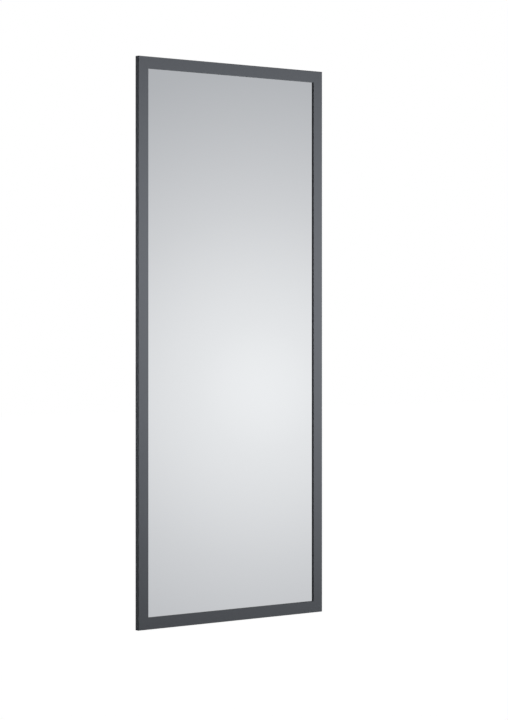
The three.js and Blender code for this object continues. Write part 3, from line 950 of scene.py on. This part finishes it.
# %% Bore and screw holes
SCREW_HOLE = (SCREW_RADIUS + FIT) * MM
saddle_z = (saddle_low.z + saddle_high.z) / 2
cutters = [drill_bit(running_bore * MM, BOSS_HEIGHT * 2, (0, 0, 0), sides=48)]
for node in ("saddle_screw_lower_1", "saddle_screw_lower_2"):
    low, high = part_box(node)
    place = (low + high) / 2 - Vector((axis_x, axis_y, saddle_z))
    place.y = foot_front
    cutters.append(drill_bit(SCREW_HOLE, FOOT_THICKNESS * 4, place, "Y"))
combine(saddle, cutters)
smooth(saddle)
seat_copies(saddle, bracket_coat, [f"saddle_block_{s}" for s in ("lower", "middle", "upper")])

# %% [markdown]
# ## Runner section
# A full-extension runner has three rails, one inside the other. Their flanges are rolled to races
# round two rows of balls. The rails could be copied from a catalogue drawing, but the whole
# section follows from the ball, the sheet and the clearances. Points are (distance from the
# closet's side, height), in millimetres. The middle rail passes under the outer row of balls and
# over the inner one. TUCK and INNER_TURN are the angles, in degrees, at which the bends of the
# middle and the inner rail meet their races, and STAGGER says how steeply the inner row lies
# below the outer one.

# %% Where the balls run
RUNNER_HEIGHT = 45.7
SHEET = 1.2
BALL_RADIUS = 2
BEND = 1.0
CAGE_SHEET = 0.6
CAGE_PLAY = 0.35
TUCK, STAGGER, INNER_TURN = 70, 46, 115
RACE = BALL_RADIUS + FIT + SHEET / 2


def polar(radius, degrees):
    """The step to a point that lies so far away in one direction."""
    return radius * math.cos(math.radians(degrees)), radius * math.sin(math.radians(degrees))


middle_web = SHEET + CAGE_PLAY + CAGE_SHEET + CAGE_PLAY + SHEET / 2
tuck_step = polar(BEND + RACE, TUCK)
outer_row = (middle_web + BEND + tuck_step[0], RUNNER_HEIGHT / 2 - SHEET / 2 - RACE)
stagger_step = polar(RACE * 2, STAGGER)
inner_row = (outer_row[0] + stagger_step[0], outer_row[1] - stagger_step[1])
turn_step = polar(BEND + RACE, INNER_TURN)
inner_web = inner_row[0] + BEND - turn_step[0]
inner_half = inner_row[1] - turn_step[1]
print("outer row", [round(c, 2) for c in outer_row], "inner row", [round(c, 2) for c in inner_row])

# %% [markdown]
# Each rail is now one line through the middle of its sheet, of bends and races. Only the upper
# half is drawn, and the lower half mirrors it. The outer race ends in a short straight lip.

# %% Rail lines
RACE_STEPS = 16
SHOULDER_ANGLE = 135
MIDDLE_END, INNER_END = 40, -140
LIP_ANGLE = 30
LIP_LENGTH = 0.8


def mirrored(half_line):
    """Puts the mirror image of the upper half of a line before it."""
    return [(a, -b) for a, b in reversed(half_line)] + half_line


shoulder = outer_row[1] + polar(RACE, SHOULDER_ANGLE)[1]
outer_race = arc(outer_row, RACE, SHOULDER_ANGLE, LIP_ANGLE, RACE_STEPS)
lip_step = polar(LIP_LENGTH, LIP_ANGLE - 90)
lip = (outer_race[-1][0] + lip_step[0], outer_race[-1][1] + lip_step[1])
outer_line = mirrored(arc((SHEET / 2 + BEND, shoulder - BEND), BEND, 180, 90) + outer_race + [lip])
tuck_bend = (middle_web + BEND, outer_row[1] - tuck_step[1])
middle_line = mirrored(
    arc(tuck_bend, BEND, 180, TUCK)
    + arc(outer_row, RACE, TUCK - 180, -STAGGER, RACE_STEPS)
    + arc(inner_row, RACE, 180 - STAGGER, MIDDLE_END, RACE_STEPS)[1:]
)
inner_line = mirrored(
    arc((inner_web - BEND, inner_half), BEND, 0, INNER_TURN)
    + arc(inner_row, RACE, INNER_TURN - 180, INNER_END, RACE_STEPS)[1:]
)
print("points in each line", len(outer_line), len(middle_line), len(inner_line))

# %% [markdown]
# ## Rails
# Each rail is rolled from strip, so it is a line that is pulled out and given the sheet's
# thickness. A solid bar could be hollowed out instead, but its walls would have to be measured
# everywhere. The sheared edges of the strip and of its holes are broken a little, and what
# repeats on the upper runner is a copy.

# %% Rolled rails
SHEARED_EDGE = 0.12 * MM


def in_section(points, x):
    """Section points at one place along the runner, in metres."""
    return [Vector((x, -a * MM, b * MM)) for a, b in points]


def make_rail(name, line, make_cutters):
    """Rolls, drills and finishes a rail, and puts it in both runners."""
    low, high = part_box(name + "_lower")
    pull = Vector((high.x - low.x, 0, 0))
    rail = bend_sheet("rolled", in_section(line, low.x), pull, SHEET * MM)
    combine(rail, make_cutters(low.x, high.x))
    ease_edges(rail, SHEARED_EDGE, segments=1)
    smooth(rail)
    seat_copies(rail, rail_zinc, on_both_runners(name))


# %% [markdown]
# The outer rail has the holes for the closet screws. The other two have long access holes,
# through which a screwdriver reaches those screws, and the inner rail has the bracket's screw
# holes. Each bit is long enough to go right through the web. The long holes keep a short flat
# between their two round corners, so that no two points of the outline fall together.

# %% Holes in the rails
FIXING_RADIUS = 2.3 * MM
FIXING_INSET = 37 * MM
FIXING_PITCH = 96 * MM
FIXING_COUNT = 4
ACCESS_LENGTH = 22 * MM
ACCESS_WIDTH = 10 * MM
ACCESS_FLAT = 0.01 * MM
BIT_LENGTH = SHEET * 4 * MM


def access_cutter(x, web):
    """A bar with round ends that cuts a long hole through a web."""
    half = ACCESS_WIDTH / 2
    outline = rounded_rectangle(ACCESS_LENGTH / 2, half, half - ACCESS_FLAT, steps=10)
    outline = [(x + a, b) for a, b in outline]
    start = -web * MM - BIT_LENGTH / 2
    return pull_bar("access", outline, "Y", start, start + BIT_LENGTH)


def outer_holes(start, end):
    """Round holes at an even pitch, for the screws into the closet."""
    places = [start + FIXING_INSET + FIXING_PITCH * i for i in range(FIXING_COUNT)]
    return [drill_bit(FIXING_RADIUS, BIT_LENGTH, (x, -SHEET / 2 * MM, 0), "Y") for x in places]


def middle_holes(start, end):
    """Access holes a quarter of the rail away from each end."""
    quarter = (end - start) / 4
    return [access_cutter(x, middle_web) for x in (start + quarter, end - quarter)]


def inner_holes(start, end):
    """Holes for the bracket's screws, and access holes clear of the bracket."""
    screws = [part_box(f"bracket_screw_lower_{i}") for i in (1, 2)]
    places = [((low.x + high.x) / 2, -inner_web * MM, 0) for low, high in screws]
    middle, third = (start + end) / 2, (end - start) / 3
    holes = [drill_bit(SCREW_HOLE, BIT_LENGTH, place, "Y") for place in places]
    return holes + [access_cutter(x, inner_web) for x in (middle, middle + third)]


make_rail("outer_rail", outer_line, outer_holes)
make_rail("middle_rail", middle_line, middle_holes)
make_rail("inner_rail", inner_line, inner_holes)

# %% [markdown]
# ## Balls
# Polished balls run in two rows, one above and one below the middle of the runner. The eye sees
# every flat on chrome steel, so they are much rounder here than in the frame. A ball could be a
# subdivided cube, but a sphere of rings is as round with fewer faces, and one serves them all.

# %% Two rows of balls
def add_balls(places, row):
    """Balls at some places along the runner, in the upper and in the lower row."""
    bpy.ops.object.select_all(action="DESELECT")
    bpy.ops.mesh.primitive_uv_sphere_add(segments=24, ring_count=16, radius=BALL_RADIUS * MM)
    bpy.ops.object.shade_smooth()
    model = bpy.context.object
    model.data.materials.append(ball_steel)
    balls = []
    for x in places:
        for height in (row[1], -row[1]):
            ball = copy_of(model, "ball")
            ball.location = (x, -row[0] * MM, height * MM)
            balls.append(ball)
    bpy.data.objects.remove(model)
    return balls


# %% [markdown]
# ## Ball cages
# A cage is a thin channel with a pocket for each ball in its two flanges. The balls could be
# pieces of their own, but no body carries one ball, so they are joined to their cage.

# %% Cages with their balls
BALLS_PER_ROW = 5
POCKET_PLAY = 0.15


def make_cage(name, web, row):
    """A cage whose web and whose row of balls lie at given places, for both runners."""
    low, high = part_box(name + "_lower")
    length = high.x - low.x
    line = mirrored(
        arc((web + CAGE_SHEET, row[1] - CAGE_SHEET), CAGE_SHEET, 180, 90, steps=4)
        + [(row[0] + BALL_RADIUS / 2, row[1])]
    )
    cage = bend_sheet("caged", in_section(line, low.x), Vector((length, 0, 0)), CAGE_SHEET * MM)
    places = [low.x + length * (i + 0.5) / BALLS_PER_ROW for i in range(BALLS_PER_ROW)]
    pocket = (BALL_RADIUS + POCKET_PLAY) * MM
    both_flanges = (high.z - low.z) * 2
    combine(cage, [drill_bit(pocket, both_flanges, (x, -row[0] * MM, 0)) for x in places])
    smooth(cage)
    cage.data.materials.append(rail_zinc)
    balls = add_balls(places, row)
    alone(cage)
    for ball in balls:
        ball.select_set(True)
    bpy.ops.object.join()
    seat_copies(cage, None, on_both_runners(name))


make_cage("outer_ball_cage", SHEET + CAGE_PLAY + CAGE_SHEET / 2, outer_row)
make_cage("inner_ball_cage", middle_web + SHEET / 2 + CAGE_PLAY + CAGE_SHEET / 2, inner_row)

# %% [markdown]
# ## Closing bumpers
# A moulded block in the closed end of the outer rail stops the two sliding rails, and a slot
# through it lets it spring a little. A block with a bevel would round all its edges alike, while
# a real bumper has larger corners than edges. So its outline is drawn with round corners and
# pulled out, and only then are its edges eased.

# %% Bumpers
BUMPER_CORNER = 1.2 * MM
BUMPER_SLOT = 14 * MM
BUMPER_EDGE = 0.35 * MM
bumper_low, bumper_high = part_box("closing_bumper_lower")
half_depth = (bumper_high.y - bumper_low.y) / 2
bumper_outline = rounded_rectangle(
    half_depth, (bumper_high.z - bumper_low.z) / 2, BUMPER_CORNER
)
thickness = bumper_high.x - bumper_low.x
bumper = pull_bar("moulded", bumper_outline, "X", 0, thickness)
slot_low = Vector((-thickness, -half_depth / 3, -BUMPER_SLOT / 2))
slot_high = Vector((thickness * 2, half_depth / 3, BUMPER_SLOT / 2))
combine(bumper, [add_block("slot", slot_low, slot_high)])
ease_edges(bumper, BUMPER_EDGE)
smooth(bumper)
seat_copies(bumper, black_acetal, on_both_runners("closing_bumper"))

# %% [markdown]
# ## Swivel brackets
# A bracket is sheet steel that is bent to a channel, whose two ears carry the bushes. A flat blank
# could be cut first and folded after, as a press shop does, but then its outline would have to be
# worked out on the flat. So the channel is bent first, with some sheet to spare at its ends.

# %% Bent channel
BRACKET_SHEET = 2
BRACKET_BEND = 2
SPARE = 2
bracket_length, bracket_depth, bracket_height = size_in_mm("swivel_bracket_lower")
ear_radius = bracket_depth / 2
reach = bracket_length - ear_radius
ear_height = bracket_height / 2 - BRACKET_SHEET / 2
web_place = BRACKET_SHEET / 2
channel_line = mirrored(
    arc((web_place + BRACKET_BEND, ear_height - BRACKET_BEND), BRACKET_BEND, 180, 90)
    + [(ear_radius * 2 + SPARE, ear_height)]
)
channel = bend_sheet(
    "bent",
    [Vector((-ear_radius - SPARE, ear_radius - a, b)) * MM for a, b in channel_line],
    Vector((ear_radius + reach + SPARE * 2, 0, 0)) * MM,
    BRACKET_SHEET * MM,
)
print("channel", [round(c / MM, 1) for c in channel.dimensions], "mm")

# %% [markdown]
# The plan is then cut out of the channel, and only what lies inside it stays: a half circle about
# the swivel axis, and sides that run back to a narrow toe. Bores and screw holes are drilled last.

# %% Plan and holes
TOE = 6
BRACKET_EDGE = 0.3 * MM
plan = arc((0, 0), ear_radius, 90, 270, steps=32)
plan += [(ear_radius, -ear_radius), (reach, ear_radius - TOE), (reach, ear_radius)]
plan = [(x * MM, y * MM) for x, y in plan]
plan_bar = pull_bar("plan", plan, "Z", -bracket_height * MM, bracket_height * MM)
combine(channel, [plan_bar], "INTERSECT")
ear_bore = (sleeve + FIT) * MM
cutters = [drill_bit(ear_bore, bracket_height * 2 * MM, (0, 0, 0), sides=48)]
for i in (1, 2):
    low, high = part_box(f"bracket_screw_lower_{i}")
    place = ((low.x + high.x) / 2 - axis_x, (ear_radius - web_place) * MM, 0)
    cutters.append(drill_bit(SCREW_HOLE, BRACKET_SHEET * 3 * MM, place, "Y"))
combine(channel, cutters)
ease_edges(channel, BRACKET_EDGE)
smooth(channel)
seat_copies(channel, bracket_coat, on_both_runners("swivel_bracket"))

# %% [markdown]
# ## Pieces that keep their frame shape
# The corner keys and nut plates are sawn and punched flat pieces inside the profiles' chambers.
# They could be modelled again, but their frame shape is already the real one, so they only take
# their finish.

# %% Keys and nut plates
KEPT = {"corner_key_": sawn_aluminium, "nut_plate_": rail_zinc}
for start, material in KEPT.items():
    nodes = [piece for name, piece in frame["nodes"].items() if name.startswith(start)]
    for piece in nodes:
        piece.data.materials.clear()
        piece.data.materials.append(material)
    print(start, len(nodes), "pieces in", material.name)

# %% [markdown]
# ## What is seen directly
# Floor, room and screen have to look bright. More light would do it, but it would wash out the
# frame. So they glow only for a ray that comes from the camera, a gloss or a glass, and not for
# light that a matt surface scatters.

# %% Rays that see the glow
def seen_directly(tree):
    """1 for a ray from the camera, a gloss or a glass, and 0 once a matt surface scattered it."""
    path = add_node(tree, "ShaderNodeLightPath")
    gloss = add_node(
        tree,
        "ShaderNodeMath",
        {"operation": "MAXIMUM"},
        {0: (path, "Is Glossy Ray"), 1: (path, "Is Transmission Ray")},
    )
    seen = add_node(
        tree,
        "ShaderNodeMath",
        {"operation": "MAXIMUM"},
        {0: (path, "Is Camera Ray"), 1: (gloss, "Value")},
    )
    unscattered = add_node(
        tree,
        "ShaderNodeMath",
        {"operation": "LESS_THAN", 1: 0.5},
        {0: (path, "Diffuse Depth")},
    )
    return add_node(
        tree,
        "ShaderNodeMath",
        {"operation": "MULTIPLY"},
        {0: (seen, "Value"), 1: (unscattered, "Value")},
    )


# %% [markdown]
# ## Floor
# The floor is white paper. It could be plain white, but under these low lamps it would turn grey.
# So it is a matt surface, on which the mirror's shadow falls, and what is seen of it directly is
# lifted to the white of the background.

# %% Floor
FLOOR_DROP = 2.6
FLOOR_SIZE = 120
FLOOR_LIFT = 0.95
bpy.ops.object.select_all(action="DESELECT")
bpy.ops.mesh.primitive_plane_add(size=FLOOR_SIZE, location=(0, 0, MIRROR_LOW.z - FLOOR_DROP))
floor = bpy.context.object
floor.name = "studio_floor"
paper = bpy.data.materials.new("white_paper")
tree = empty_tree(paper)
lift = add_node(
    tree,
    "ShaderNodeMath",
    {"operation": "MULTIPLY", 1: FLOOR_LIFT},
    {0: (seen_directly(tree), "Value")},
)
matt = add_node(tree, "ShaderNodeBsdfDiffuse", {"Color": linear("#F4F4F4")})
glow = add_node(
    tree, "ShaderNodeEmission", {"Color": linear("#FFFFFF")}, {"Strength": (lift, "Value")}
)
both = add_node(tree, "ShaderNodeAddShader", links={0: (matt, "BSDF"), 1: (glow, "Emission")})
add_node(tree, "ShaderNodeOutputMaterial", links={"Surface": (both, "Shader")})
floor.data.materials.append(paper)
print("floor at", round(floor.location.z, 3))

# %% [markdown]
# ## Studio light
# A white room could light the mirror by itself, but the frame's side would then be as light as its
# face. So the room is white where it is seen directly, and the light that it scatters is low.

# %% World
AMBIENT = 0.06
world = bpy.data.worlds.new("white_studio")
bpy.context.scene.world = world
tree = empty_tree(world)
level = add_node(
    tree,
    "ShaderNodeMapRange",
    {"To Min": AMBIENT},
    {"Value": (seen_directly(tree), "Value")},
)
sky = add_node(
    tree, "ShaderNodeBackground", {"Color": linear("#FFFFFF")}, {"Strength": (level, "Result")}
)
add_node(tree, "ShaderNodeOutputWorld", links={"Surface": (sky, "Background")})
print("scattered light of the room:", AMBIENT)

# %% [markdown]
# ## What the mirror reflects
# A mirror has no colour of its own: it shows what stands in front of it. In a studio that is a
# large white screen with one soft spot of light on it. A flat screen would do for one view, but
# this part is seen from all sides, so the screen is a wide dome that only glossy surfaces see.

# %% Dome
DOME_RADIUS = 3.0


def hide_from(thing, rays):
    """Keeps a thing out of what some kinds of ray meet."""
    for ray in rays:
        setattr(thing, "visible_" + ray, False)


bpy.ops.object.select_all(action="DESELECT")
bpy.ops.mesh.primitive_uv_sphere_add(
    radius=DOME_RADIUS, segments=96, ring_count=48, location=MIRROR_CENTRE
)
dome = bpy.context.object
dome.name = "reflected_screen"
bpy.ops.object.transform_apply(location=True)
hide_from(dome, ("camera", "diffuse", "shadow", "transmission", "volume_scatter"))
print("dome", round(dome.dimensions.x, 1), "m wide")

# %% [markdown]
# The screen is brightest where the camera's view lands after the mirror has turned it, and a
# second spot behind the mirror gives the runners something bright to reflect. A spot's colours
# depend on the distance from its centre: a stop is (share of the spot's reach, colour).

# %% Screen with two soft spots
SPOT_ON_MIRROR = Vector((0.279, 0.0027, 0.417))
SPOT_DIRECTION = Vector((0.6308, -0.7754, -0.0296))
SPOT_REACH = 6.0
SPOT_STOPS = [
    (0.0, "#F6F7F9"), (0.033, "#EFF0F2"), (0.092, "#D7D8DB"), (0.165, "#B6B8BC"),
    (0.30, "#9C9FA4"), (0.6, "#A2A5A9"), (0.8, "#77797E"), (1.0, "#5E6166"),
]  # fmt: skip
REAR_DIRECTION = Vector((0.75, 0.66, 0.05))
REAR_REACH = 4.0
REAR_STOPS = [(0.0, "#F2F4F5"), (0.4, "#C4C7CA"), (0.9, "#000000")]
SCREEN_STRENGTH = 0.99


def soft_spot(tree, place, centre, reach, stops):
    """Colours that change with the distance from the spot's centre on the screen."""
    distance = add_node(
        tree,
        "ShaderNodeVectorMath",
        {"operation": "DISTANCE", 1: centre},
        {0: (place, "Object")},
    )
    share = add_node(
        tree, "ShaderNodeMath", {"operation": "DIVIDE", 1: reach}, {0: (distance, "Value")}
    )
    ramp = add_node(tree, "ShaderNodeValToRGB", links={"Fac": (share, "Value")})
    ramp.color_ramp.interpolation = "B_SPLINE"
    elements = ramp.color_ramp.elements
    while len(elements) < len(stops):
        elements.new(position=0.5)
    for element, (position, colour) in zip(elements, stops):
        element.position = position
        element.color = linear(colour)
    return ramp


screen = bpy.data.materials.new("screen_with_soft_spot")
tree = empty_tree(screen)
place = add_node(tree, "ShaderNodeTexCoord")
front_centre = MIRROR_LOW + SPOT_ON_MIRROR + SPOT_DIRECTION * DOME_RADIUS
rear_centre = MIRROR_CENTRE + REAR_DIRECTION * DOME_RADIUS
front_spot = soft_spot(tree, place, front_centre, SPOT_REACH, SPOT_STOPS)
rear_spot = soft_spot(tree, place, rear_centre, REAR_REACH, REAR_STOPS)
lighter = add_node(
    tree,
    "ShaderNodeMix",
    {"data_type": "RGBA", "blend_type": "LIGHTEN", MIX_SHARE: 1.0},
    {MIX_A: (front_spot, "Color"), MIX_B: (rear_spot, "Color")},
)
strength = add_node(
    tree,
    "ShaderNodeMath",
    {"operation": "MULTIPLY", 1: SCREEN_STRENGTH},
    {0: (seen_directly(tree), "Value")},
)
glow = add_node(tree, "ShaderNodeEmission", links={"Strength": (strength, "Value")})
tree.links.new(lighter.outputs[MIX_RESULT], glow.inputs["Color"])
add_node(tree, "ShaderNodeOutputMaterial", links={"Surface": (glow, "Emission")})
dome.data.materials.append(screen)
print("spot at", tuple(round(c, 2) for c in front_centre))

# %% [markdown]
# ## Softboxes
# Four soft lamps light the mirror. One large lamp would be simpler, but it would light the whole
# frame alike. Three have a grid, which narrows the beam: one in front and one from above make the
# frame's face brightest a little over its middle, and one at the side gives the narrow side face
# less. The last one stands behind and lights the board and the runners.

# %% Lamps
LAMPS = {
    # place and target from the mirror's middle, size in metres, power in watts, spread in degrees
    "front_softbox": ((1.49, -1.56, -0.499), (0.002, 0, 0.209), 0.4, 6.05, 52.7),
    "upper_softbox": ((-0.91, -1.56, 1.442), (-0.556, 0, 0.134), 0.4, 1.0, 29.1),
    "side_softbox": ((-1.665, 0.017, -0.162), (-0.199, 0, 0.217), 0.4, 1.48, 100),
    "rear_softbox": ((0.6, 2.2, 1.1), (0, 0, 0), 1.2, 75, 180),
}


def add_lamp(name, place, target, size, power, spread):
    """A round soft lamp that looks at its target."""
    bpy.ops.object.select_all(action="DESELECT")
    bpy.ops.object.light_add(type="AREA", location=MIRROR_CENTRE + Vector(place))
    lamp = bpy.context.object
    lamp.name = name
    lamp.data.shape = "DISK"
    lamp.data.size = size
    lamp.data.energy = power
    lamp.data.spread = math.radians(spread)
    aim = Vector(target) - Vector(place)
    lamp.rotation_euler = aim.to_track_quat("-Z", "Y").to_euler()
    hide_from(lamp, ("camera", "glossy"))


for name, settings in LAMPS.items():
    add_lamp(name, *settings)

# %% [markdown]
# ## Last step
# The view transform is Standard, so that colours come out as they are written.

# %% Finish
bpy.context.scene.view_settings.view_transform = "Standard"
